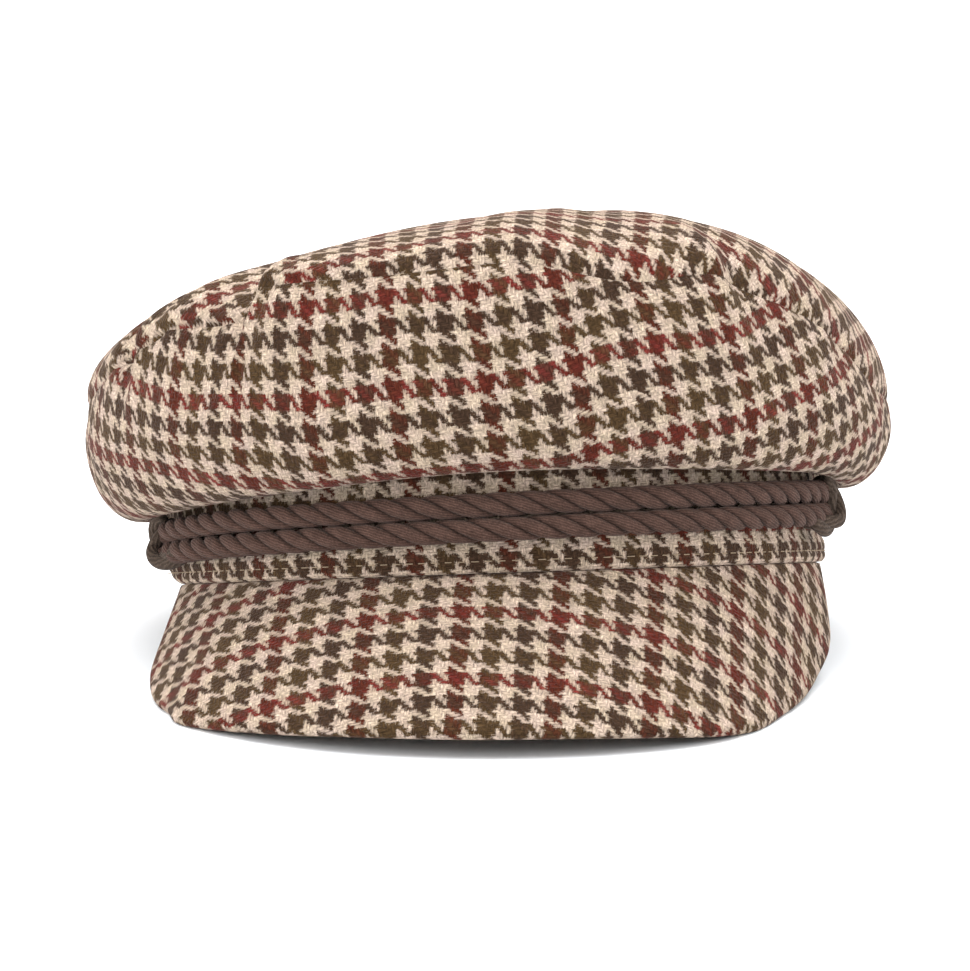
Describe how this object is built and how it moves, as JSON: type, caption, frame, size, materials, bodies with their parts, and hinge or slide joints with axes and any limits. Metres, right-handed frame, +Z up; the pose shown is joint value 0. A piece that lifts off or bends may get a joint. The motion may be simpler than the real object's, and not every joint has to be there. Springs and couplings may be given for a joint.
{
  "type": "sailor cap",
  "caption": "Soft cap in checked wool cloth with a puffed crown, a straight band, a steep cloth-covered peak and a doubled rope over the band.",
  "frame": {"origin": "middle of the box, on the surface that the cap rests on", "axes": "+Z up as the cap rests on its peak and the back of its band, -Y towards the front of the peak, +X towards the viewer's right"},
  "size_m": [0.2136, 0.2708, 0.1207],
  "materials": {
    "checked_wool": "matt woollen twill in a beige, brown and maroon houndstooth check",
    "rope_yarn": "twisted mauve-brown cord, slightly lustrous",
    "dark_yarn": "dark brown twisted cord"
  },
  "bodies": {
    "root": {"crown_tip": "checked_wool", "crown_side": "checked_wool", "band": "checked_wool", "peak": "checked_wool", "rope_upper": "rope_yarn", "rope_lower": "rope_yarn", "side_loop_left": "dark_yarn", "side_loop_right": "dark_yarn"}
  },
  "joints": []
}
